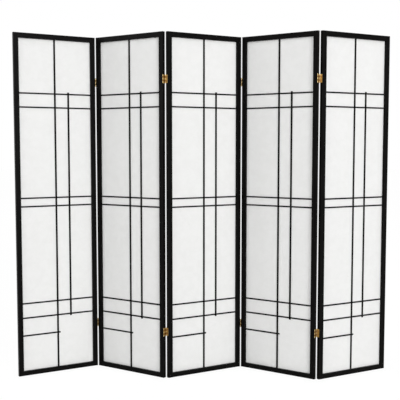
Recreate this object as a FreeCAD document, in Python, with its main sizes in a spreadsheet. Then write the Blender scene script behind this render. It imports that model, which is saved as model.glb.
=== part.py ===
import FreeCAD, Part
import os

import Sketcher
from FreeCAD import Placement, Rotation, Vector

# A shoji folding screen: five equal panels that stand in a zigzag on the floor.
#
# Each panel is a wooden frame with mortised stiles and tenoned rails. A lattice of half-lapped
# bars is let into the frame behind its front face. One sheet of paper lies against the back of
# the lattice, in a rabbet, and four beads hold it there.
#
# Two hinges join each pair of neighbours, one near the top and one near the bottom. They fold
# both ways: one leaf turns about a pin in front of the panels, the other about a pin behind
# them, and a link plate between the leaves joins the two pins.
#
# Row frame: X along the row to the right, Y away from the viewer, Z up, with the origin on the
# floor at the middle of the standing screen. Panel frame: X from the panel's left edge, Y back
# from its front face, Z up from its bottom edge. Hinge frame: its origin is the middle of the
# gap, half way through the panel and half way up the hinge.

SIZES = {
    # the panel and its frame
    "panel_height": 1787.0,
    "panel_width": 443.2,
    "panel_depth": 19.0,
    "stile_width": 25.6,
    "top_rail_width": 26.8,
    "bottom_rail_width": 24.0,
    "edge_round": 0.8,
    # rail ends in the stiles
    "tenon_length": 12.0,
    "tenon_depth": 6.0,
    "tenon_setback": 3.0,
    "tenon_shoulder": 4.0,
    "mortise_play": 0.2,
    # lattice: upright bars and crossbars, with their places in the panel
    "lattice_setback": 9.0,
    "lattice_depth": 3.3,
    "upright_width": 9.0,
    "crossbar_width": 7.2,
    "centre_bar_at": 219.4,
    "second_bar_at": 293.2,
    "crossbar_1_level": 1481.0,
    "crossbar_2_level": 1409.1,
    "crossbar_3_level": 936.8,
    "crossbar_4_level": 892.7,
    "crossbar_5_level": 382.2,
    "crossbar_6_level": 305.0,
    "crossbar_7_level": 210.5,
    "second_bar_overrun": 6.0,
    "short_bar_overrun": 8.5,
    "housing_length": 4.0,
    "housing_play": 0.1,
    "lap_play": 0.05,
    # paper and the beads that hold it
    "rabbet_width": 6.0,
    "paper_thickness": 0.4,
    "paper_margin": 0.5,
    "bead_play": 0.2,
    "bead_round": 2.0,
    # hinges
    "upper_hinge_level": 1549.2,
    "lower_hinge_level": 242.3,
    "hinge_height": 42.5,
    "leaf_thickness": 0.8,
    "leaf_inset": 1.5,
    "leaf_relief": 0.4,
    "knuckle_radius": 1.5,
    "knuckle_play": 0.2,
    "barrel_offset": 1.9,
    "pin_radius": 0.7,
    "pin_play": 0.05,
    "pin_head_radius": 1.35,
    "pin_head_height": 1.0,
    # countersunk screws of the leaves
    "screw_head_radius": 2.6,
    "screw_shank_radius": 1.45,
    "screw_length": 12.0,
    "screw_tip_length": 2.5,
    "screw_play": 0.05,
    "screw_spacing": 14.5,
    "screw_stagger": 3.6,
    "slot_width": 0.8,
    "slot_depth": 0.5,
    # how far each panel is turned from the line of the row, in degrees, seen from above
    "panel_1_turn": 29.8,
    "panel_2_turn": -33.2,
    "panel_3_turn": 29.8,
    "panel_4_turn": -34.0,
    "panel_5_turn": 28.9,
}
PANELS = (1, 2, 3, 4, 5)
FULL_CROSSBARS = (1, 2, 3, 4, 5, 6)
SHORT_CROSSBAR = 7
KNUCKLES = 5

# formulas that several pieces share
OPENING_WIDTH = "(size.panel_width - 2 * size.stile_width)"
OPENING_RIGHT = "(size.panel_width - size.stile_width)"
OPENING_TOP = "(size.panel_height - size.top_rail_width)"
OPENING_HEIGHT = f"({OPENING_TOP} - size.bottom_rail_width)"
PAPER_AT = "(size.lattice_setback + size.lattice_depth)"
BEAD_AT = f"({PAPER_AT} + size.paper_thickness)"
LAP_AT = "(size.lattice_setback + (size.lattice_depth - size.lap_play) / 2)"
PAPER_LAP = "(size.rabbet_width - size.paper_margin)"
BEAD_WIDTH = "(size.rabbet_width - size.bead_play)"
HALF_GAP = "size.knuckle_radius"
PIN_OFFSET = "(size.panel_depth / 2 + size.barrel_offset)"
KNUCKLE_PITCH = f"(size.hinge_height / {KNUCKLES})"
BORE_RADIUS = "(size.pin_radius + size.pin_play)"

doc = FreeCAD.newDocument("folding_screen")
size = doc.addObject("Spreadsheet::Sheet", "size")
for row, (alias, value) in enumerate(SIZES.items(), start=1):
    size.set(f"A{row}", alias.replace("_", " "))
    size.set(f"B{row}", str(value))
    size.setAlias(f"B{row}", alias)
doc.recompute()


# ---- small helpers

def bind(item, **formulas):
    """Tie each named property of an object to a formula of the sheet."""
    for name, formula in formulas.items():
        item.setExpression(name, formula)
    return item


def move(item, x="0", y="0", z="0"):
    """Tie an object's place to three formulas of the sheet."""
    for axis, formula in (("x", x), ("y", y), ("z", z)):
        item.setExpression(f"Placement.Base.{axis}", formula)
    return item


def box(name, x, y, z, length, width, height):
    """A block along X, Y and Z whose low corner is at x, y, z."""
    block = doc.addObject("Part::Box", name)
    bind(block, Length=length, Width=width, Height=height)
    return move(block, x, y, z)


def cylinder(name, x, y, z, radius, height):
    """An upright cylinder on x, y that starts at z."""
    rod = doc.addObject("Part::Cylinder", name)
    bind(rod, Radius=radius, Height=height)
    return move(rod, x, y, z)


def group(name, items):
    """Separate solids kept together as one object."""
    together = doc.addObject("Part::Compound", name)
    together.Links = items
    return together


def fuse(name, items):
    """Several overlapping shapes joined into one solid."""
    joined = doc.addObject("Part::MultiFuse", name)
    joined.Shapes = items
    joined.Refine = True
    return joined


def cut(name, base, tools):
    """A base with every tool taken out of it."""
    left_over = doc.addObject("Part::Cut", name)
    left_over.Base = base
    left_over.Tool = group(f"{name}_tools", tools)
    return left_over


def edges_along(shape, direction, *places):
    """Names of the straight edges along a direction that pass through one of the places."""
    found = []
    for number, edge in enumerate(shape.Edges, start=1):
        if not isinstance(edge.Curve, Part.Line):
            continue
        if abs(abs(edge.Curve.Direction.dot(direction)) - 1) > 1e-6:
            continue
        for place in places:
            away = place - edge.Vertexes[0].Point
            if away.cross(direction).Length < 0.01:
                found.append(f"Edge{number}")
    return found


# ---- sketched pieces

def new_body(name):
    return doc.addObject("PartDesign::Body", name)


def new_sketch(body, name, plane_role, height="0"):
    """An empty sketch on one of the body's own origin planes, raised along its normal."""
    sketch = body.newObject("Sketcher::SketchObject", name)
    planes = [plane for plane in body.Origin.OriginFeatures if plane.Role == plane_role]
    sketch.AttachmentSupport = [(planes[0], "")]
    sketch.MapMode = "FlatFace"
    sketch.setExpression("AttachmentOffset.Base.z", height)
    return sketch


def set_distance(sketch, kind, first, second, formula):
    """A signed distance between two points of a sketch, tied to a formula."""
    index = sketch.addConstraint(Sketcher.Constraint(kind, *first, *second, 1.0))
    sketch.setExpression(f"Constraints[{index}]", formula)


def draw_rectangle(sketch, left, low, width, height):
    """A rectangle whose corner and sides are tied to formulas."""
    start = sketch.GeometryCount
    corners = [Vector(1, 1, 0), Vector(2, 1, 0), Vector(2, 2, 0), Vector(1, 2, 0)]
    for here, there in zip(corners, corners[1:] + corners[:1]):
        sketch.addGeometry(Part.LineSegment(here, there), False)
    for side in range(4):
        following = start + (side + 1) % 4
        sketch.addConstraint(Sketcher.Constraint("Coincident", start + side, 2, following, 1))
        level = ("Horizontal", "Vertical")[side % 2]
        sketch.addConstraint(Sketcher.Constraint(level, start + side))
    origin = (-1, 1)
    set_distance(sketch, "DistanceX", origin, (start, 1), left)
    set_distance(sketch, "DistanceY", origin, (start, 1), low)
    set_distance(sketch, "DistanceX", (start, 1), (start, 2), width)
    set_distance(sketch, "DistanceY", (start + 1, 1), (start + 1, 2), height)


def draw_circle(sketch, across, up, radius):
    """A circle whose centre and radius are tied to formulas."""
    start = sketch.GeometryCount
    sketch.addGeometry(Part.Circle(Vector(1, 1, 0), Vector(0, 0, 1), 1.0), False)
    origin = (-1, 1)
    set_distance(sketch, "DistanceX", origin, (start, 3), across)
    set_distance(sketch, "DistanceY", origin, (start, 3), up)
    index = sketch.addConstraint(Sketcher.Constraint("Radius", start, 1.0))
    sketch.setExpression(f"Constraints[{index}]", radius)


def add_pad(body, name, sketch, length):
    pad = body.newObject("PartDesign::Pad", name)
    pad.Profile = sketch
    pad.setExpression("Length", length)
    return pad


def add_pocket(body, name, sketch, length, forward):
    """Take a sketch's outline out of the body, forward along the sketch's normal or back."""
    pocket = body.newObject("PartDesign::Pocket", name)
    pocket.Profile = sketch
    pocket.Reversed = forward
    pocket.setExpression("Length", length)
    return pocket


def ease_edges(body, direction, places):
    """Round the computed body's straight edges that pass through the places."""
    whole = body.Tip
    fillet = body.newObject("PartDesign::Fillet", f"{body.Name}_eased")
    fillet.Base = (whole, edges_along(whole.Shape, direction, *places))
    fillet.setExpression("Radius", "size.edge_round")


# ---- the frame

def screw_spots(level):
    """Height and sideways offset of a leaf's three screws about its middle."""
    for row in (-1, 0, 1):
        stagger = "-" if row else "+"
        yield f"({level} + {row} * size.screw_spacing)", f"{stagger} size.screw_stagger"


def make_stile(name, on_left, hinged):
    """One upright of a frame, with its mortises, rabbet, bar housings and screw holes."""
    body = new_body(name)
    outer = "0" if on_left else "size.panel_width"
    low_side = "0" if on_left else OPENING_RIGHT
    inner = "size.stile_width" if on_left else OPENING_RIGHT

    outline = new_sketch(body, f"{name}_outline", "XY_Plane")
    draw_rectangle(outline, low_side, "0", "size.stile_width", "size.panel_depth")
    add_pad(body, f"{name}_length", outline, "size.panel_height")

    rabbet_left = f"({inner} - size.rabbet_width)" if on_left else inner
    rabbet_low = "(size.bottom_rail_width - size.rabbet_width)"
    rabbet = new_sketch(body, f"{name}_rabbet_outline", "XY_Plane", rabbet_low)
    draw_rectangle(rabbet, rabbet_left, PAPER_AT, "size.rabbet_width", f"size.panel_depth - {PAPER_AT}")
    add_pocket(body, f"{name}_rabbet", rabbet, f"{OPENING_HEIGHT} + 2 * size.rabbet_width", True)

    mortises = new_sketch(body, f"{name}_mortise_outlines", "YZ_Plane", inner)
    for rail_low, rail_width in rails_in_stile():
        draw_rectangle(
            mortises,
            "size.tenon_setback - size.mortise_play",
            f"{rail_low} + size.tenon_shoulder - size.mortise_play",
            "size.tenon_depth + 2 * size.mortise_play",
            f"{rail_width} - 2 * size.tenon_shoulder + 2 * size.mortise_play",
        )
    add_pocket(body, f"{name}_mortises", mortises, "size.tenon_length + size.mortise_play", not on_left)

    housings = new_sketch(body, f"{name}_housing_outlines", "YZ_Plane", inner)
    for bar in bars_in_stile(on_left):
        draw_rectangle(
            housings,
            "size.lattice_setback - size.housing_play",
            f"size.crossbar_{bar}_level - size.crossbar_width / 2 - size.housing_play",
            "size.lattice_depth + size.housing_play",
            "size.crossbar_width + 2 * size.housing_play",
        )
    add_pocket(body, f"{name}_housings", housings, "size.housing_length + size.housing_play", not on_left)

    if hinged:
        side = "-" if on_left else "+"
        holes = new_sketch(body, f"{name}_hole_outlines", "YZ_Plane", outer)
        for level in ("size.upper_hinge_level", "size.lower_hinge_level"):
            for height, stagger in screw_spots(level):
                across = f"size.panel_depth / 2 {side} ({stagger})"
                draw_circle(holes, across, height, "size.screw_shank_radius + size.screw_play")
        depth = "size.screw_length - size.leaf_thickness + size.screw_play"
        add_pocket(body, f"{name}_holes", holes, depth, on_left)

    return body


def ease_stile(body, on_left):
    """Round a stile's two outer long edges."""
    edge_at = 0.0 if on_left else size.panel_width
    ease_edges(body, Vector(0, 0, 1), [Vector(edge_at, depth, 0) for depth in (0.0, size.panel_depth)])


def rails_in_stile():
    """Lower edge and width of each rail that a stile holds."""
    yield "0", "size.bottom_rail_width"
    yield OPENING_TOP, "size.top_rail_width"


def bars_in_stile(on_left):
    """Crossbars whose ends a stile holds: the short one meets only the left stile."""
    return (*FULL_CROSSBARS, SHORT_CROSSBAR) if on_left else FULL_CROSSBARS


def make_rail(name, at_top):
    """One crosspiece of a frame, with a tenon at each end, a rabbet and a bar housing."""
    body = new_body(name)
    width = "size.top_rail_width" if at_top else "size.bottom_rail_width"
    low = OPENING_TOP if at_top else "0"
    inner = OPENING_TOP if at_top else "size.bottom_rail_width"

    outline = new_sketch(body, f"{name}_outline", "YZ_Plane", "size.stile_width")
    draw_rectangle(outline, "0", low, "size.panel_depth", width)
    add_pad(body, f"{name}_length", outline, OPENING_WIDTH)

    tenon = new_sketch(body, f"{name}_tenon_outline", "YZ_Plane", "size.stile_width - size.tenon_length")
    draw_rectangle(
        tenon,
        "size.tenon_setback",
        f"{low} + size.tenon_shoulder",
        "size.tenon_depth",
        f"{width} - 2 * size.tenon_shoulder",
    )
    add_pad(body, f"{name}_tenons", tenon, f"{OPENING_WIDTH} + 2 * size.tenon_length")

    rabbet_low = inner if at_top else f"({inner} - size.rabbet_width)"
    rabbet = new_sketch(body, f"{name}_rabbet_outline", "YZ_Plane", "size.stile_width")
    draw_rectangle(rabbet, PAPER_AT, rabbet_low, f"size.panel_depth - {PAPER_AT}", "size.rabbet_width")
    add_pocket(body, f"{name}_rabbet", rabbet, OPENING_WIDTH, True)

    housing = new_sketch(body, f"{name}_housing_outline", "XY_Plane", inner)
    draw_rectangle(
        housing,
        "size.centre_bar_at - size.upright_width / 2 - size.housing_play",
        "size.lattice_setback - size.housing_play",
        "size.upright_width + 2 * size.housing_play",
        "size.lattice_depth + size.housing_play",
    )
    add_pocket(body, f"{name}_housing", housing, "size.housing_length + size.housing_play", at_top)

    return body


def ease_rail(body, at_top):
    """Round a rail's two outer long edges."""
    edge_at = size.panel_height if at_top else 0.0
    ease_edges(body, Vector(1, 0, 0), [Vector(0, depth, edge_at) for depth in (0.0, size.panel_depth)])


# ---- lattice, paper and beads

def crossbar_end(bar):
    """Where a crossbar ends at the right: in the right stile, or just past the centre bar."""
    if bar == SHORT_CROSSBAR:
        return "(size.centre_bar_at + size.upright_width / 2 + size.short_bar_overrun)"
    return f"({OPENING_RIGHT} + size.housing_length)"


def upright_span(bar):
    """Low and high end of an upright bar of the lattice."""
    if bar == "centre":
        return "(size.bottom_rail_width - size.housing_length)", f"({OPENING_TOP} + size.housing_length)"
    beyond = "(size.crossbar_width / 2 + size.second_bar_overrun)"
    return f"(size.crossbar_6_level - {beyond})", f"(size.crossbar_1_level + {beyond})"


def crossbar_block(name, bar, front, depth, play="0"):
    start = "(size.stile_width - size.housing_length)"
    level = f"size.crossbar_{bar}_level - size.crossbar_width / 2 - {play}"
    tall = f"size.crossbar_width + 2 * {play}"
    return box(name, start, front, level, f"{crossbar_end(bar)} - {start}", depth, tall)


def upright_block(name, bar, front, depth, play="0"):
    low, high = upright_span(bar)
    left = f"size.{bar}_bar_at - size.upright_width / 2 - {play}"
    wide = f"size.upright_width + 2 * {play}"
    return box(name, left, front, low, wide, depth, f"{high} - {low}")


def make_lattice(name):
    """Uprights in front of crossbars, each cut half away where they cross."""
    crossbars = (*FULL_CROSSBARS, SHORT_CROSSBAR)
    uprights = ("centre", "second")
    play = "size.lap_play"
    half = f"(size.lattice_depth + {play}) / 2"
    whole = "size.lattice_depth"
    front = "size.lattice_setback"
    across = [crossbar_block(f"{name}_crossbar_{bar}", bar, front, whole) for bar in crossbars]
    upward = [upright_block(f"{name}_{bar}_bar", bar, front, whole) for bar in uprights]
    front_laps = [upright_block(f"{name}_{bar}_lap", bar, front, half, play) for bar in uprights]
    back_laps = [crossbar_block(f"{name}_lap_{bar}", bar, LAP_AT, half, play) for bar in crossbars]
    return group(name, [
        cut(f"{name}_crossbars", group(f"{name}_crossbar_blocks", across), front_laps),
        cut(f"{name}_uprights", group(f"{name}_upright_blocks", upward), back_laps),
    ])


def make_paper(name):
    """The sheet that lies on the back of the lattice and reaches into the rabbet all round."""
    sheet = box(
        f"{name}_sheet",
        f"size.stile_width - {PAPER_LAP}",
        PAPER_AT,
        f"size.bottom_rail_width - {PAPER_LAP}",
        f"{OPENING_WIDTH} + 2 * {PAPER_LAP}",
        "size.paper_thickness",
        f"{OPENING_HEIGHT} + 2 * {PAPER_LAP}",
    )
    return group(name, [sheet])


def make_beads(name):
    """Four square strips in the rabbet behind the paper."""
    depth = f"size.panel_depth - {BEAD_AT}"
    tall = f"({OPENING_HEIGHT} + 2 * {BEAD_WIDTH})"
    wide = f"({OPENING_WIDTH} - 2 * size.bead_play)"
    low = f"(size.bottom_rail_width - {BEAD_WIDTH})"
    left = f"(size.stile_width - {BEAD_WIDTH})"
    between = "size.stile_width + size.bead_play"
    return group(name, [
        box(f"{name}_left", left, BEAD_AT, low, BEAD_WIDTH, depth, tall),
        box(f"{name}_right", OPENING_RIGHT, BEAD_AT, low, BEAD_WIDTH, depth, tall),
        box(f"{name}_bottom", between, BEAD_AT, low, wide, depth, BEAD_WIDTH),
        box(f"{name}_top", between, BEAD_AT, OPENING_TOP, wide, depth, BEAD_WIDTH),
    ])


def round_beads(beads):
    """Round the inner back edge of each computed strip."""
    back = size.panel_depth
    upright = Vector(0, 0, 1)
    level = Vector(1, 0, 0)
    inner_edges = [
        (upright, Vector(size.stile_width, back, 0)),
        (upright, Vector(size.panel_width - size.stile_width, back, 0)),
        (level, Vector(0, back, size.bottom_rail_width)),
        (level, Vector(0, back, size.panel_height - size.top_rail_width)),
    ]
    rounded = []
    for strip, (direction, place) in zip(beads.Links, inner_edges):
        edge = edges_along(strip.Shape, direction, place)[0]
        fillet = doc.addObject("Part::Fillet", f"{strip.Name}_rounded")
        fillet.Base = strip
        fillet.Edges = [(int(edge.removeprefix("Edge")), size.bead_round, size.bead_round)]
        rounded.append(fillet)
    beads.Links = rounded


# ---- hinges, in the hinge frame

def knuckle_cuts(name, pin_y, rows):
    """Blocks that clear the rows of a barrel that belong to the neighbouring leaf."""
    reach = "(size.knuckle_radius + size.leaf_relief)"
    blocks = []
    for row in rows:
        low = f"({row} * {KNUCKLE_PITCH} - size.hinge_height / 2 - size.knuckle_play / 2)"
        blocks.append(box(
            f"{name}_{row}",
            f"-{reach}",
            f"{pin_y} - {reach}",
            low,
            f"2 * {reach}",
            f"2 * {reach}",
            f"{KNUCKLE_PITCH} + size.knuckle_play",
        ))
    return blocks


def screw_cone(name, height, across, play):
    """The countersink of one screw, as deep as the leaf, in a leaf on the low X side."""
    cone = doc.addObject("Part::Cone", name)
    bind(
        cone,
        Radius1=f"size.screw_shank_radius + {play}",
        Radius2=f"size.screw_head_radius + {play}",
        Height="size.leaf_thickness",
    )
    cone.Placement.Rotation = Rotation(Vector(0, 1, 0), 90)
    return move(cone, f"-{HALF_GAP}", across, height)


def make_leaf(name):
    """A leaf on a panel's right edge: a plate with the outer and middle knuckles in front."""
    back = "(size.panel_depth / 2 - size.leaf_inset)"
    low = "-size.hinge_height / 2"
    tall = "size.hinge_height"
    front = f"-{PIN_OFFSET}"
    thick = "size.leaf_thickness"
    plate = box(f"{name}_plate", f"-{HALF_GAP}", front, low, thick, f"{back} + {PIN_OFFSET}", tall)
    barrel = cylinder(f"{name}_barrel", "0", front, low, "size.knuckle_radius", tall)
    bore = cylinder(f"{name}_bore", "0", front, low, BORE_RADIUS, tall)
    countersinks = [
        screw_cone(f"{name}_countersink_{number}", height, across, "size.screw_play")
        for number, (height, across) in enumerate(screw_spots("0"), start=1)
    ]
    missing_rows = knuckle_cuts(f"{name}_row", front, range(1, KNUCKLES, 2))
    blank = fuse(f"{name}_blank", [plate, barrel])
    return cut(name, blank, [bore, *countersinks, *missing_rows])


def make_link(name):
    """The plate between two leaves, with the second and fourth knuckles of both barrels."""
    low = "-size.hinge_height / 2"
    tall = "size.hinge_height"
    front = f"-{PIN_OFFSET}"
    thick = "size.leaf_thickness"
    solids = [box(f"{name}_plate", f"-{thick} / 2", front, low, thick, f"2 * {PIN_OFFSET}", tall)]
    tools = []
    for side, pin_y in (("front", front), ("back", PIN_OFFSET)):
        solids.append(cylinder(f"{name}_{side}_barrel", "0", pin_y, low, "size.knuckle_radius", tall))
        tools.append(cylinder(f"{name}_{side}_bore", "0", pin_y, low, BORE_RADIUS, tall))
        tools.extend(knuckle_cuts(f"{name}_{side}_row", pin_y, range(0, KNUCKLES, 2)))
    return cut(name, fuse(f"{name}_blank", solids), tools)


def make_pin(name, pin_y, level):
    """A pin through all the knuckles of one barrel, with a flat round head at each end."""
    low = f"{level} - size.hinge_height / 2"
    high = f"{level} + size.hinge_height / 2"
    head = "size.pin_head_height"
    rod = cylinder(f"{name}_rod", "0", pin_y, low, "size.pin_radius", "size.hinge_height")
    lower = cylinder(f"{name}_lower_head", "0", pin_y, f"{low} - {head}", "size.pin_head_radius", head)
    upper = cylinder(f"{name}_upper_head", "0", pin_y, high, "size.pin_head_radius", head)
    return fuse(name, [rod, lower, upper])


def make_screw(name, height, across):
    """A countersunk wood screw with a slot, driven into the edge through a leaf."""
    head = screw_cone(f"{name}_head", height, across, "0")
    straight = "(size.screw_length - size.leaf_thickness - size.screw_tip_length)"
    shank = doc.addObject("Part::Cylinder", f"{name}_shank")
    bind(shank, Radius="size.screw_shank_radius", Height=straight)
    tip = doc.addObject("Part::Cone", f"{name}_tip")
    bind(tip, Radius1="0", Radius2="size.screw_shank_radius", Height="size.screw_tip_length")
    for solid, length in ((shank, straight), (tip, f"({straight} + size.screw_tip_length)")):
        solid.Placement.Rotation = Rotation(Vector(0, 1, 0), 90)
        move(solid, f"-{HALF_GAP} - {length}", across, height)
    slot = box(
        f"{name}_slot",
        f"-{HALF_GAP} + size.leaf_thickness - size.slot_depth",
        f"{across} - size.screw_head_radius",
        f"{height} - size.slot_width / 2",
        "size.slot_depth",
        "2 * size.screw_head_radius",
        "size.slot_width",
    )
    return cut(name, fuse(f"{name}_blank", [head, shank, tip]), [slot])


HINGE_LEVELS = {"upper": "size.upper_hinge_level", "lower": "size.lower_hinge_level"}


def hinged_edges(panel):
    """The edges of a panel that carry hinges: the row's two outer edges carry none."""
    edges = []
    if panel != PANELS[-1]:
        edges.append("right")
    if panel != PANELS[0]:
        edges.append("left")
    return edges


def seat_on_edge(item, edge, level):
    """Put a hinge-frame object on an edge: the left edge holds it turned half round."""
    if edge == "left":
        item.Placement.Rotation = Rotation(Vector(0, 0, 1), 180)
        return move(item, f"-{HALF_GAP}", "size.panel_depth / 2", level)
    return move(item, f"size.panel_width + {HALF_GAP}", "size.panel_depth / 2", level)


def make_leaves(name, panel):
    leaves = []
    for edge in hinged_edges(panel):
        for place, level in HINGE_LEVELS.items():
            leaves.append(seat_on_edge(make_leaf(f"{name}_{edge}_{place}"), edge, level))
    return group(name, leaves)


def make_screws(name, panel):
    screws = []
    for edge in hinged_edges(panel):
        for place, level in HINGE_LEVELS.items():
            for number, (height, across) in enumerate(screw_spots("0"), start=1):
                screw = make_screw(f"{name}_{edge}_{place}_{number}", height, across)
                screws.append(seat_on_edge(screw, edge, level))
    return group(name, screws)


def make_links(name):
    """The upper and lower link of one joint line, in the hinge frame raised to the floor."""
    links = [move(make_link(f"{name}_{place}"), z=level) for place, level in HINGE_LEVELS.items()]
    return group(name, links)


def make_pins(name, pin_y):
    return group(name, [make_pin(f"{name}_{place}", pin_y, level) for place, level in HINGE_LEVELS.items()])


# ---- how the row stands

def turned(angle):
    return Rotation(Vector(0, 0, 1), angle)


def next_placement(here, angle, turn_after):
    """The placement of the hinge line and of the next panel, given a panel's placement.

    The joint folds about its front pin where the next panel turns back towards the viewer,
    and otherwise about its back pin. The link stays square to the panel whose leaf carries
    the other pin.
    """
    pin_offset = size.panel_depth / 2 + size.barrel_offset
    middle = here.multVec(Vector(size.panel_width + size.knuckle_radius, size.panel_depth / 2, 0))
    folds_forward = turn_after < angle
    side = -1 if folds_forward else 1
    pin = Vector(0, side * pin_offset, 0)
    pivot = middle + turned(angle).multVec(pin)
    link_angle = turn_after if folds_forward else angle
    link = Placement(pivot - turned(link_angle).multVec(pin), turned(link_angle))
    to_corner = Vector(size.knuckle_radius, -size.panel_depth / 2, 0)
    corner = pivot + turned(turn_after).multVec(to_corner - pin)
    return link, Placement(corner, turned(turn_after))


def standing_row():
    """Placements of the panels and hinge lines, with the middle of their plan at the origin."""
    turns = [size.getPropertyByName(f"panel_{panel}_turn") for panel in PANELS]
    panels = [Placement(Vector(0, 0, 0), turned(turns[0]))]
    links = []
    for angle, turn_after in zip(turns, turns[1:]):
        link, panel = next_placement(panels[-1], angle, turn_after)
        links.append(link)
        panels.append(panel)
    reached = []
    for panel in panels:
        for across in (0.0, size.panel_width):
            reached += [panel.multVec(Vector(across, depth, 0)) for depth in (0.0, size.panel_depth)]
    pin_offset = size.panel_depth / 2 + size.barrel_offset
    for link in links:
        for side in (-1, 1):
            pin = link.multVec(Vector(0, side * pin_offset, 0))
            for angle in range(0, 360, 90):
                reached.append(pin + turned(angle).multVec(Vector(size.knuckle_radius, 0, 0)))
    middle = Vector(
        (min(spot.x for spot in reached) + max(spot.x for spot in reached)) / 2,
        (min(spot.y for spot in reached) + max(spot.y for spot in reached)) / 2,
        0,
    )
    for placement in (*panels, *links):
        placement.Base = placement.Base - middle
    return panels, links


# ---- the whole screen

def make_panel(name, panel):
    """All the pieces of one panel, by their labels."""
    edges = hinged_edges(panel)
    return {
        f"{name}_left_stile": make_stile(f"{name}_left_stile", True, "left" in edges),
        f"{name}_right_stile": make_stile(f"{name}_right_stile", False, "right" in edges),
        f"{name}_top_rail": make_rail(f"{name}_top_rail", True),
        f"{name}_bottom_rail": make_rail(f"{name}_bottom_rail", False),
        f"{name}_lattice": make_lattice(f"{name}_lattice"),
        f"{name}_paper": make_paper(f"{name}_paper"),
        f"{name}_paper_beads": make_beads(f"{name}_paper_beads"),
        f"{name}_hinge_leaves": make_leaves(f"{name}_hinge_leaves", panel),
        f"{name}_hinge_screws": make_screws(f"{name}_hinge_screws", panel),
    }


def round_panel(name, made):
    """The roundings of one panel, which need its plain shapes computed first."""
    ease_stile(made[f"{name}_left_stile"], True)
    ease_stile(made[f"{name}_right_stile"], False)
    ease_rail(made[f"{name}_top_rail"], True)
    ease_rail(made[f"{name}_bottom_rail"], False)
    round_beads(made[f"{name}_paper_beads"])


def make_joint_line(pair):
    """The links and pins between two panels, by their labels."""
    return {
        f"hinge_links_{pair}": make_links(f"hinge_links_{pair}"),
        f"hinge_front_pins_{pair}": make_pins(f"hinge_front_pins_{pair}", f"-{PIN_OFFSET}"),
        f"hinge_back_pins_{pair}": make_pins(f"hinge_back_pins_{pair}", PIN_OFFSET),
    }


panels = [make_panel(f"panel_{panel}", panel) for panel in PANELS]
joint_lines = [make_joint_line(f"{panel}_{panel + 1}") for panel in PANELS[:-1]]
doc.recompute()

for panel, made in zip(PANELS, panels):
    round_panel(f"panel_{panel}", made)

pieces = {}
panel_placements, link_placements = standing_row()
for made, placement in zip([*panels, *joint_lines], [*panel_placements, *link_placements]):
    for label, piece in made.items():
        piece.Label = label
        piece.Placement = placement
    pieces.update(made)
doc.recompute()

failed = [item.Name for item in doc.Objects if {"Invalid", "Error"} & set(item.State)]
if failed:
    raise RuntimeError(f"not recomputed: {failed}")
for label, piece in pieces.items():
    if piece.Shape.isNull() or not piece.Shape.isValid():
        raise RuntimeError(f"{label} has no valid shape")

os.makedirs("parts", exist_ok=True)
for label, piece in pieces.items():
    piece.Shape.exportStep(f"parts/{label}.step")
    print(f"{label}: {len(piece.Shape.Solids)} solids, {piece.Shape.Volume / 1000:.1f} cm3")
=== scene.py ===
import math

import bmesh
import bpy
from mathutils import Matrix, Vector, noise


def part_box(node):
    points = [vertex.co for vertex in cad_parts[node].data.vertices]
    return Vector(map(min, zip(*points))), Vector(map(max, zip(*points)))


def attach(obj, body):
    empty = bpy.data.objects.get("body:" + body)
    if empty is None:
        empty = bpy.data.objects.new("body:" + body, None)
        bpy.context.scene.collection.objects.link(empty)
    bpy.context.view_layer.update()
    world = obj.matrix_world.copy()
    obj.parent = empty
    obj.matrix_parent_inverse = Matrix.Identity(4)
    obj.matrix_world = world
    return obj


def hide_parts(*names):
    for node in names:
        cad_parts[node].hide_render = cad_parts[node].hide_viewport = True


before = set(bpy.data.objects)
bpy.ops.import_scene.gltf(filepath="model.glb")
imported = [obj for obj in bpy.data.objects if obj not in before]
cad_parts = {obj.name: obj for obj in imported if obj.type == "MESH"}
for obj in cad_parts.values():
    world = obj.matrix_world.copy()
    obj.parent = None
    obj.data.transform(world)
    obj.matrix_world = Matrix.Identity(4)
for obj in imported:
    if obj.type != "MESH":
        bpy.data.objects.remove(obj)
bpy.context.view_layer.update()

# A shoji folding screen in its zigzag. The wooden frames, lattices, beads and hinges are the CAD
# solids with procedural materials. The five sheets of paper are meshes of their own.
#
# A panel's own frame: X from its left edge, Y back from its front face, Z up from the floor.

MM = 0.001
PANELS = (1, 2, 3, 4, 5)
LINES = (1, 2, 3, 4)

# ---- sizes of a panel, in millimetres
WIDTH, HEIGHT, DEPTH = 443.2, 1787.0, 19.0
STILE, TOP_RAIL, BOTTOM_RAIL = 25.6, 26.8, 24.0
UPRIGHT, CROSSBAR = 9.0, 7.2
CENTRE_BAR, SECOND_BAR = 219.4, 293.2
CROSSBARS = (1481.0, 1409.1, 936.8, 892.7, 382.2, 305.0)
SHORT_BAR, SHORT_BAR_END = 210.5, 232.4
SECOND_BAR_SPAN = (295.4, 1490.6)
PAPER_FRONT, PAPER_THICKNESS, PAPER_LAP = 12.32, 0.36, 5.5
HINGE_LEVELS, HINGE_HEIGHT, KNUCKLES = (1549.2, 242.3), 42.5, 5

# the turn of each panel from the line of the row, in degrees
TURNS = {1: 29.8, 2: -33.2, 3: 29.8, 4: -34.0, 5: 28.9}


def panel_places():
    """Each panel's matrix, from its turn and the box of its left stile."""
    places = {}
    for panel, turn in TURNS.items():
        low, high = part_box(f"panel_{panel}_left_stile")
        angle = math.radians(turn)
        across = Vector((math.cos(angle), math.sin(angle), 0.0))
        back = Vector((-math.sin(angle), math.cos(angle), 0.0))
        middle = (low + high) / 2
        corner = middle - across * STILE / 2 * MM - back * DEPTH / 2 * MM
        corner.z = 0.0
        places[panel] = Matrix.Translation(corner) @ Matrix.Rotation(angle, 4, "Z")
    return places


PLACES = panel_places()

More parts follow.
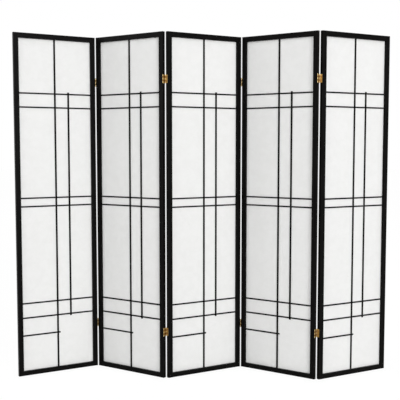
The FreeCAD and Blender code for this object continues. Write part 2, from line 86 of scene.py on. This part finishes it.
# ---- colours of the materials, linear
LACQUER_DEEP, LACQUER_GRAIN = (0.0006, 0.0006, 0.0006), (0.0058, 0.0052, 0.0048)
# the lighter colour along the lacquer's edges: partly wear, partly a painted highlight
LACQUER_EDGE_WEAR_AND_HIGHLIGHT = (0.022, 0.019, 0.017)
BRASS_DULL, BRASS_CLEAR = (0.55, 0.395, 0.165), (0.72, 0.575, 0.310)
BRASS_SPECK, BRASS_TARNISH_AND_SHADE = (0.23, 0.120, 0.030), (0.225, 0.118, 0.034)
PAPER_THIN, PAPER_THICK = (0.916, 0.916, 0.908), (0.944, 0.944, 0.938)
PAPER_PULP = (0.905, 0.905, 0.897)
FINE_THREAD, LONG_THREAD = (0.965, 0.965, 0.960), (0.82, 0.815, 0.79)

# ---- other numbers of the materials
NOISE_SPAN = (0.3, 0.7)  # most of a noise's values lie between these
GRAIN_SCALE = 0.035  # of the wood's noise along the grain, where it is 1 across it
BRUSH_SCALE = 0.04  # of the brass's noise along the brushing, where it is 1 across it
# the lighter line along the lacquer's edges, partly wear and partly a painted highlight: full up
# to the first distance, gone by the second
WEAR_AND_HIGHLIGHT_FULL_TO, WEAR_AND_HIGHLIGHT_GONE_AT = 0.4, 1.5  # distance from an edge, in millimetres
WEAR_AND_HIGHLIGHT_AMOUNT = 0.75
# where the rows of a hinge painted darker begin and end, in rows of knuckles from the hinge's
# middle: partly tarnish, partly painted shade where those knuckles sit deeper
TARNISH_AND_SHADE_FROM, TARNISH_AND_SHADE_TO = (0.35, 0.75), (1.4, 1.9)
PAPER_THROUGH = 0.30  # the share of the paper's shading that is light from behind it


# ---- node helpers

class Tree:
    """A material's node tree, built by short calls."""

    def __init__(self, name):
        self.material = bpy.data.materials.new(name)
        self.material.use_nodes = True
        self.nodes = self.material.node_tree.nodes
        self.links = self.material.node_tree.links
        self.nodes.clear()
        self.output = self.nodes.new("ShaderNodeOutputMaterial")

    def put(self, socket, value):
        if isinstance(value, bpy.types.NodeSocket):
            self.links.new(value, socket)
        else:
            socket.default_value = value

    def math(self, operation, *values):
        node = self.nodes.new("ShaderNodeMath")
        node.operation = operation
        for socket, value in zip(node.inputs, values):
            self.put(socket, value)
        return node.outputs[0]

    def total(self, *terms):
        """The sum of values, each times its weight."""
        found = None
        for value, weight in terms:
            term = self.math("MULTIPLY", value, weight)
            found = term if found is None else self.math("ADD", found, term)
        return found

    def nearest(self, value, places):
        """The distance from value to the nearest of the places, which are in millimetres."""
        found = None
        for place in places:
            away = self.math("ABSOLUTE", self.math("SUBTRACT", value, place * MM))
            found = away if found is None else self.math("MINIMUM", found, away)
        return found

    def within(self, value, bands):
        """1 where value lies in one of the bands: a middle and a half width, in millimetres."""
        found = None
        for middle, half in bands:
            hit = self.math("COMPARE", value, middle * MM, half * MM)
            found = hit if found is None else self.math("MAXIMUM", found, hit)
        return found

    def between(self, value, low, high, to_low=0.0, to_high=1.0):
        """value mapped smoothly from low..high to to_low..to_high."""
        node = self.nodes.new("ShaderNodeMapRange")
        node.interpolation_type = "SMOOTHSTEP"
        for socket, number in zip(node.inputs, (value, low, high, to_low, to_high)):
            self.put(socket, number)
        return node.outputs[0]

    def point(self, matrix=None, shift=(0.0, 0.0, 0.0)):
        """The object's own coordinates, seen from the frame of matrix."""
        coordinates = self.nodes.new("ShaderNodeTexCoord").outputs["Object"]
        if matrix is not None:
            inward = matrix.inverted()
            node = self.nodes.new("ShaderNodeMapping")
            self.put(node.inputs["Vector"], coordinates)
            node.inputs["Location"].default_value = inward.to_translation()
            node.inputs["Rotation"].default_value = inward.to_euler()
            coordinates = node.outputs[0]
        return self.moved(coordinates, shift)

    def moved(self, vector, shift=(0.0, 0.0, 0.0), scale=(1.0, 1.0, 1.0)):
        node = self.nodes.new("ShaderNodeMapping")
        self.put(node.inputs["Vector"], vector)
        node.inputs["Location"].default_value = shift
        node.inputs["Scale"].default_value = scale
        return node.outputs[0]

    def parts(self, vector):
        """The x, y and z of a vector."""
        node = self.nodes.new("ShaderNodeSeparateXYZ")
        self.put(node.inputs[0], vector)
        return tuple(node.outputs)

    def noise(self, vector, scale, detail, roughness, distortion=0.0):
        node = self.nodes.new("ShaderNodeTexNoise")
        self.put(node.inputs["Vector"], vector)
        node.inputs["Scale"].default_value = scale
        node.inputs["Detail"].default_value = detail
        node.inputs["Roughness"].default_value = roughness
        node.inputs["Distortion"].default_value = distortion
        return node.outputs[0]

    def mix_vector(self, factor, a, b):
        node = self.nodes.new("ShaderNodeMix")
        node.data_type = "VECTOR"
        for number, value in ((0, factor), (4, a), (5, b)):
            self.put(node.inputs[number], value)
        return node.outputs[1]

    def mix_color(self, factor, a, b):
        node = self.nodes.new("ShaderNodeMix")
        node.data_type = "RGBA"
        self.put(node.inputs[0], factor)
        for socket, value in ((node.inputs[6], a), (node.inputs[7], b)):
            self.put(socket, value if isinstance(value, bpy.types.NodeSocket) else (*value, 1.0))
        return node.outputs[2]

    def bump(self, height, strength, distance):
        node = self.nodes.new("ShaderNodeBump")
        node.inputs["Strength"].default_value = strength
        node.inputs["Distance"].default_value = distance
        self.put(node.inputs["Height"], height)
        return node.outputs[0]

    def principled(self, **values):
        node = self.nodes.new("ShaderNodeBsdfPrincipled")
        for name, value in values.items():
            self.put(node.inputs[name.replace("_", " ")], value)
        return node.outputs[0]

    def finish(self, surface):
        self.links.new(surface, self.output.inputs["Surface"])
        return self.material


# ---- materials

def lacquered_wood(name, panel, uprights, seed, edge_wear_and_highlight):
    """Black satin lacquer over fine straight grain. uprights are the bands of the panel's width
    where the grain runs up the panel; it runs across elsewhere. The last argument is how strong
    the lighter line along the edges is, from 0 to 1: partly wear, partly a painted highlight."""
    tree = Tree(name)
    place = tree.point(PLACES[panel])
    x, y, z = tree.parts(place)

    shift = (3.1 * seed, 1.7 * seed + 0.37 * panel, 0.9 * panel)
    up = tree.moved(place, shift, (1.0, 1.0, GRAIN_SCALE))
    across = tree.moved(place, shift, (GRAIN_SCALE, 1.0, 1.0))
    along_grain = tree.mix_vector(tree.within(x, uprights), across, up)
    pores = tree.noise(along_grain, 1500.0, detail=3.0, roughness=0.62, distortion=0.15)
    bands = tree.noise(along_grain, 210.0, detail=4.0, roughness=0.6, distortion=0.6)
    cloud = tree.noise(tree.moved(place, shift), 14.0, detail=3.0, roughness=0.55)
    grain = tree.total((pores, 0.45), (bands, 0.55))
    color = tree.mix_color(tree.between(grain, 0.36, 0.66), LACQUER_DEEP, LACQUER_GRAIN)

    # the lacquer is painted lighter along the edges of the stiles and of the panel's top and
    # bottom: partly wear where it is thin, partly a painted highlight
    edge = tree.math(
        "ADD",
        tree.math(
            "MINIMUM",
            tree.nearest(x, (0.0, STILE, WIDTH - STILE, WIDTH)),
            tree.nearest(z, (0.0, HEIGHT)),
        ),
        tree.nearest(y, (0.0, DEPTH)),
    )
    wear_and_highlight = tree.math(
        "MULTIPLY",
        tree.between(edge, WEAR_AND_HIGHLIGHT_FULL_TO * MM, WEAR_AND_HIGHLIGHT_GONE_AT * MM, 1.0, 0.0),
        tree.between(tree.noise(along_grain, 330.0, detail=3.0, roughness=0.7), 0.42, 0.7),
    )
    color = tree.mix_color(
        tree.math("MULTIPLY", wear_and_highlight, WEAR_AND_HIGHLIGHT_AMOUNT * edge_wear_and_highlight),
        color,
        LACQUER_EDGE_WEAR_AND_HIGHLIGHT,
    )

    roughness = tree.math(
        "ADD",
        tree.between(cloud, *NOISE_SPAN, 0.30, 0.42),
        tree.between(pores, *NOISE_SPAN, -0.05, 0.08),
    )
    relief = tree.total((pores, 0.5), (bands, 1.0))
    return tree.finish(tree.principled(
        Base_Color=color,
        Roughness=roughness,
        Specular_IOR_Level=0.040,
        Normal=tree.bump(relief, strength=0.50, distance=0.00022),
    ))


def link_rows(tree):
    """1 at the height of the second and fourth knuckles of a hinge, 0 in its middle."""
    height = tree.parts(tree.point())[2]
    from_middle = tree.nearest(height, HINGE_LEVELS)
    row = HINGE_HEIGHT / KNUCKLES * MM
    return tree.math(
        "MULTIPLY",
        tree.between(from_middle, *(rows * row for rows in TARNISH_AND_SHADE_FROM)),
        tree.between(from_middle, *(rows * row for rows in TARNISH_AND_SHADE_TO), 1.0, 0.0),
    )


def brass(name, seed, light, rough, tarnish_and_shade_rows=False):
    """Lacquered yellow brass, brushed up and down, with brown in its low spots. When its last
    argument
    is set, it is also painted a darker brown around the second and fourth knuckles of each hinge:
    partly tarnish, partly painted shade where those knuckles sit deeper."""
    tree = Tree(name)
    place = tree.point(shift=(0.7 * seed, 1.3 * seed, 0.4 * seed))
    along_brush = tree.moved(place, scale=(1.0, 1.0, BRUSH_SCALE))
    brushed = tree.noise(along_brush, 2600.0, detail=2.0, roughness=0.6)
    blotch = tree.noise(place, 95.0, detail=4.0, roughness=0.62, distortion=0.4)
    speck = tree.noise(place, 900.0, detail=3.0, roughness=0.6)
    color = tree.mix_color(
        tree.between(blotch, 0.36, 0.64),
        tuple(light * v for v in BRASS_DULL),
        tuple(light * v for v in BRASS_CLEAR),
    )
    color = tree.mix_color(
        tree.math("MULTIPLY", tree.between(speck, 0.60, 0.74), 0.45),
        color,
        BRASS_SPECK,
    )
    if tarnish_and_shade_rows:
        # darker brown rows around the second and fourth knuckles: partly tarnish, partly painted
        # shade
        color = tree.mix_color(
            tree.math("MULTIPLY", link_rows(tree), tree.between(blotch, 0.25, 0.5, 0.7, 1.0)),
            color,
            BRASS_TARNISH_AND_SHADE,
        )
    roughness = tree.math(
        "ADD",
        tree.between(blotch, *NOISE_SPAN, rough + 0.10, rough),
        tree.between(brushed, *NOISE_SPAN, -0.03, 0.06),
    )
    return tree.finish(tree.principled(
        Base_Color=color,
        Metallic=1.0,
        Roughness=roughness,
        Normal=tree.bump(brushed, strength=0.18, distance=0.00004),
    ))


def threads(tree, place, seed, scale, width, gaps, showing):
    """Thin curved threads, broken into short lengths. gaps is the scale of the noise that breaks
    them, and they show where it rises through the two values of showing."""
    moved = tree.moved(place, (seed, 2.3 * seed, 0.7 * seed))
    field = tree.noise(moved, scale, detail=1.5, roughness=0.5, distortion=1.1)
    off_centre = tree.math("ABSOLUTE", tree.math("SUBTRACT", field, 0.5))
    return tree.math(
        "MULTIPLY",
        tree.between(off_centre, 0.0, width, 1.0, 0.0),
        tree.between(tree.noise(moved, gaps, detail=2.0, roughness=0.5), *showing),
    )


def washi(name, panel):
    """White mulberry paper: cloudy pulp with short threads, matte, letting a little light
    through."""
    tree = Tree(name)
    place = tree.point(shift=(0.83 * panel, 0.0, 1.91 * panel))
    cloud = tree.noise(place, 34.0, detail=5.0, roughness=0.6, distortion=0.3)
    pulp = tree.noise(place, 420.0, detail=3.0, roughness=0.6)
    long_threads = threads(
        tree, place, seed=4.1, scale=26.0, width=0.006, gaps=38.0, showing=(0.50, 0.60),
    )
    fine_threads = threads(
        tree, place, seed=9.7, scale=58.0, width=0.011, gaps=75.0, showing=(0.48, 0.60),
    )
    color = tree.mix_color(tree.between(cloud, 0.32, 0.68), PAPER_THIN, PAPER_THICK)
    for amount, layer in (
        (tree.between(pulp, 0.35, 0.65, 0.0, 0.35), PAPER_PULP),
        (tree.math("MULTIPLY", fine_threads, 0.35), FINE_THREAD),
        (tree.math("MULTIPLY", long_threads, 0.40), LONG_THREAD),
    ):
        color = tree.mix_color(amount, color, layer)
    raised = tree.total((long_threads, 0.8), (pulp, 0.6), (fine_threads, 0.5))
    normal = tree.bump(raised, strength=0.35, distance=0.00012)
    front = tree.principled(
        Base_Color=color,
        Roughness=0.82,
        Specular_IOR_Level=0.25,
        Sheen_Weight=0.08,
        Sheen_Roughness=0.5,
        Normal=normal,
    )
    through = tree.nodes.new("ShaderNodeBsdfTranslucent")
    tree.put(through.inputs["Color"], color)
    tree.put(through.inputs["Normal"], normal)
    mix = tree.nodes.new("ShaderNodeMixShader")
    for socket, value in zip(mix.inputs, (PAPER_THROUGH, front, through.outputs[0])):
        tree.put(socket, value)
    return tree.finish(mix.outputs[0])


def dress(node, material):
    """The CAD node gets this material all over."""
    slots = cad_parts[node].data.materials
    if slots:
        for number in range(len(slots)):
            slots[number] = material
    else:
        slots.append(material)


# ---- paper

SLACK_REACH = 26.0  # how quickly the sheet leaves a bar, in millimetres
SLACK_MEAN, SLACK_WIDE, SLACK_SMALL = 0.40, 0.45, 0.14
WIDE_WAVE, SMALL_WAVE = (140.0, 260.0), (55.0, 75.0)
GRID_STEP, QUICK_GRID_STEP = 7.0, 14.0
SHARP_ANGLE = math.radians(40)


def reach_of_bars(x, z):
    """How far a point of the sheet is from the nearest bar or frame edge, in millimetres."""
    top = HEIGHT - TOP_RAIL
    nearest = min(x - STILE, WIDTH - STILE - x, z - BOTTOM_RAIL, top - z)
    nearest = min(nearest, abs(x - CENTRE_BAR) - UPRIGHT / 2)
    for level in CROSSBARS:
        nearest = min(nearest, abs(z - level) - CROSSBAR / 2)
    low, high = SECOND_BAR_SPAN
    past = max(low - z, z - high, 0.0)
    nearest = min(nearest, math.hypot(max(abs(x - SECOND_BAR) - UPRIGHT / 2, 0.0), past))
    past = max(x - SHORT_BAR_END, 0.0)
    nearest = min(nearest, math.hypot(max(abs(z - SHORT_BAR) - CROSSBAR / 2, 0.0), past))
    return max(nearest, 0.0)


def wave(x, z, lengths, seed):
    """Smooth noise over the sheet, with waves of these lengths."""
    return noise.noise(Vector((x / lengths[0], z / lengths[1], seed)))


def slack(panel, x, z):
    """How far the sheet stands back from the plane of the lattice, in millimetres."""
    free = 1.0 - math.exp(-reach_of_bars(x, z) / SLACK_REACH)
    wide = wave(x, z, WIDE_WAVE, 7.3 * panel)
    small = wave(x, z, SMALL_WAVE, 3.9 * panel + 40.0)
    return free * max(SLACK_MEAN + SLACK_WIDE * wide + SLACK_SMALL * small, 0.0)


def paper_sheet(panel, material):
    """One sheet of paper, from lap to lap in the rabbet, with a little slack between the bars."""
    left, right = STILE - PAPER_LAP, WIDTH - STILE + PAPER_LAP
    low, high = BOTTOM_RAIL - PAPER_LAP, HEIGHT - TOP_RAIL + PAPER_LAP
    step = GRID_STEP
    columns = round((right - left) / step)
    rows = round((high - low) / step)
    mesh = bmesh.new()
    sides = []
    for offset in (0.0, PAPER_THICKNESS):
        grid = []
        for row in range(rows + 1):
            z = low + (high - low) * row / rows
            line = []
            for column in range(columns + 1):
                x = left + (right - left) * column / columns
                y = PAPER_FRONT + offset + slack(panel, x, z)
                line.append(mesh.verts.new((x * MM, y * MM, z * MM)))
            grid.append(line)
        sides.append(grid)
    front, back = sides

    for row in range(rows):
        for column in range(columns):
            for grid, turn in ((front, 1), (back, -1)):
                corners = (
                    grid[row][column],
                    grid[row][column + 1],
                    grid[row + 1][column + 1],
                    grid[row + 1][column],
                )
                mesh.faces.new(corners[::turn])
    rim = [(0, column) for column in range(columns)]
    rim += [(row, columns) for row in range(rows)]
    rim += [(rows, column) for column in range(columns, 0, -1)]
    rim += [(row, 0) for row in range(rows, 0, -1)]
    for (row, column), (next_row, next_column) in zip(rim, rim[1:] + rim[:1]):
        mesh.faces.new((
            front[next_row][next_column],
            front[row][column],
            back[row][column],
            back[next_row][next_column],
        ))
    bmesh.ops.recalc_face_normals(mesh, faces=mesh.faces)

    data = bpy.data.meshes.new(f"paper_sheet_{panel}")
    mesh.to_mesh(data)
    mesh.free()
    for polygon in data.polygons:
        polygon.use_smooth = True
    data.set_sharp_from_angle(angle=SHARP_ANGLE)
    data.materials.append(material)
    sheet = bpy.data.objects.new(f"paper_sheet_{panel}", data)
    bpy.context.scene.collection.objects.link(sheet)
    sheet.matrix_world = PLACES[panel]
    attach(sheet, f"panel_{panel}")
    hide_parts(f"panel_{panel}_paper")


# ---- the pieces

# the bands of the panel's width where the grain runs up, a little wider than the wood there
STILE_BANDS = [(middle, STILE / 2 + 0.1) for middle in (STILE / 2, WIDTH - STILE / 2)]
BAR_BANDS = [(middle, UPRIGHT / 2 + 0.03) for middle in (CENTRE_BAR, SECOND_BAR)]

for panel in PANELS:
    frame_wood = lacquered_wood(f"frame_lacquer_{panel}", panel, STILE_BANDS, seed=1, edge_wear_and_highlight=1.0)
    lattice_wood = lacquered_wood(f"lattice_lacquer_{panel}", panel, BAR_BANDS, seed=2, edge_wear_and_highlight=0.0)
    bead_wood = lacquered_wood(f"bead_lacquer_{panel}", panel, STILE_BANDS, seed=3, edge_wear_and_highlight=0.6)
    for part in ("left_stile", "right_stile", "top_rail", "bottom_rail"):
        dress(f"panel_{panel}_{part}", frame_wood)
    dress(f"panel_{panel}_lattice", lattice_wood)
    dress(f"panel_{panel}_paper_beads", bead_wood)
    paper_sheet(panel, washi(f"washi_{panel}", panel))

leaf_brass = brass("leaf_brass", seed=1, light=1.0, rough=0.27)
# the links' brass is painted darker than the leaves': partly tarnish, partly painted shade where
# the links sit deeper between the leaves
link_brass = brass("link_brass", seed=2, light=0.80, rough=0.3, tarnish_and_shade_rows=True)
pin_brass = brass("pin_brass", seed=3, light=1.1, rough=0.2)
screw_brass = brass("screw_brass", seed=4, light=1.05, rough=0.22)
for panel in PANELS:
    dress(f"panel_{panel}_hinge_leaves", leaf_brass)
    dress(f"panel_{panel}_hinge_screws", screw_brass)
for line in LINES:
    dress(f"hinge_links_{line}_{line + 1}", link_brass)
    dress(f"hinge_front_pins_{line}_{line + 1}", pin_brass)
    dress(f"hinge_back_pins_{line}_{line + 1}", pin_brass)


# ---- stage, light and camera

WHITE = (1.0, 1.0, 1.0, 1.0)
DOME = 0.62  # the world's light on the object
BACKDROP = 1.0  # the world as the camera and reflections see it
# lamp: how much it adds to a surface that faces it, azimuth to the right, height, size in metres
LAMPS = {
    "key": (0.445, 28.0, 9.0, 7.0),
    "side": (0.15, -80.0, 10.0, 6.0),
}
LAMP_TARGET, LAMP_DISTANCE = (0.0, 0.0, 0.9), 16.0
FLOOR_COLOR = (0.86, 0.86, 0.86, 1.0)
FLOOR_HALF, FLOOR_DROP = 40.0, 0.0005
# the floor as the camera and reflections see it: the share of its glow, and how bright that is
FLOOR_LIFT, FLOOR_GLOW = 0.82, 1.09
# fitted to the panel corners in the photograph, then adjusted against renders
SENSOR_WIDTH, LENS = 36.0, 70.417
SHIFT_X, SHIFT_Y = 0.00063, 0.02323
CAMERA_PLACE, CAMERA_DIP = (-0.0245, -4.1233, 1.1990), 0.07833
CLIP_START, CLIP_END = 0.1, 200.0


def emptied(owner):
    """The nodes and links of a new material or world, with no node in it."""
    owner.use_nodes = True
    tree = owner.node_tree
    tree.nodes.clear()
    return tree.nodes, tree.links


def seen_directly(nodes, links):
    """1 for rays of the camera, of reflections and through glass."""
    path = nodes.new("ShaderNodeLightPath")
    total = path.outputs["Is Camera Ray"]
    for name in ("Is Glossy Ray", "Is Transmission Ray"):
        either = nodes.new("ShaderNodeMath")
        either.operation = "MAXIMUM"
        links.new(total, either.inputs[0])
        links.new(path.outputs[name], either.inputs[1])
        total = either.outputs[0]
    return total


def make_world():
    world = bpy.data.worlds.new("studio")
    nodes, links = emptied(world)
    output = nodes.new("ShaderNodeOutputWorld")
    background = nodes.new("ShaderNodeBackground")
    background.inputs["Color"].default_value = WHITE
    strength = nodes.new("ShaderNodeMapRange")
    links.new(seen_directly(nodes, links), strength.inputs["Value"])
    strength.inputs["To Min"].default_value = DOME
    strength.inputs["To Max"].default_value = BACKDROP
    links.new(strength.outputs[0], background.inputs["Strength"])
    links.new(background.outputs[0], output.inputs["Surface"])
    bpy.context.scene.world = world


def floor_material():
    material = bpy.data.materials.new("studio_floor")
    nodes, links = emptied(material)
    output = nodes.new("ShaderNodeOutputMaterial")
    diffuse = nodes.new("ShaderNodeBsdfDiffuse")
    diffuse.inputs["Color"].default_value = FLOOR_COLOR
    glow = nodes.new("ShaderNodeEmission")
    glow.inputs["Color"].default_value = WHITE
    glow.inputs["Strength"].default_value = FLOOR_GLOW
    amount = nodes.new("ShaderNodeMath")
    amount.operation = "MULTIPLY"
    links.new(seen_directly(nodes, links), amount.inputs[0])
    amount.inputs[1].default_value = FLOOR_LIFT
    mix = nodes.new("ShaderNodeMixShader")
    for source, socket in zip((amount, diffuse, glow), mix.inputs):
        links.new(source.outputs[0], socket)
    links.new(mix.outputs[0], output.inputs["Surface"])
    return material


def make_floor():
    data = bpy.data.meshes.new("floor")
    corners = [(-1, -1), (1, -1), (1, 1), (-1, 1)]
    data.from_pydata(
        [(FLOOR_HALF * x, FLOOR_HALF * y, 0.0) for x, y in corners],
        [],
        [(0, 1, 2, 3)],
    )
    data.materials.append(floor_material())
    floor = bpy.data.objects.new("floor", data)
    floor.location.z = -FLOOR_DROP
    bpy.context.scene.collection.objects.link(floor)


def make_lamp(name, level, azimuth, height, size):
    azimuth, height = math.radians(azimuth), math.radians(height)
    towards = Vector((
        math.sin(azimuth) * math.cos(height),
        -math.cos(azimuth) * math.cos(height),
        math.sin(height),
    ))
    data = bpy.data.lights.new(name, "AREA")
    data.shape = "DISK"
    data.size = size
    data.energy = level * (math.pi * LAMP_DISTANCE) ** 2
    light = bpy.data.objects.new(name, data)
    light.location = Vector(LAMP_TARGET) + towards * LAMP_DISTANCE
    light.rotation_mode = "QUATERNION"
    light.rotation_quaternion = (-towards).to_track_quat("-Z", "Y")
    bpy.context.scene.collection.objects.link(light)


def make_camera():
    data = bpy.data.cameras.new("camera")
    data.sensor_width, data.lens = SENSOR_WIDTH, LENS
    data.shift_x, data.shift_y = SHIFT_X, SHIFT_Y
    data.clip_start, data.clip_end = CLIP_START, CLIP_END
    camera = bpy.data.objects.new("camera", data)
    camera.location = CAMERA_PLACE
    camera.rotation_euler = (math.pi / 2 - CAMERA_DIP, 0.0, 0.0)
    bpy.context.scene.collection.objects.link(camera)
    bpy.context.scene.camera = camera


make_world()
make_floor()
for name, lamp in LAMPS.items():
    make_lamp(name, *lamp)
make_camera()
bpy.context.scene.view_settings.view_transform = "Standard"
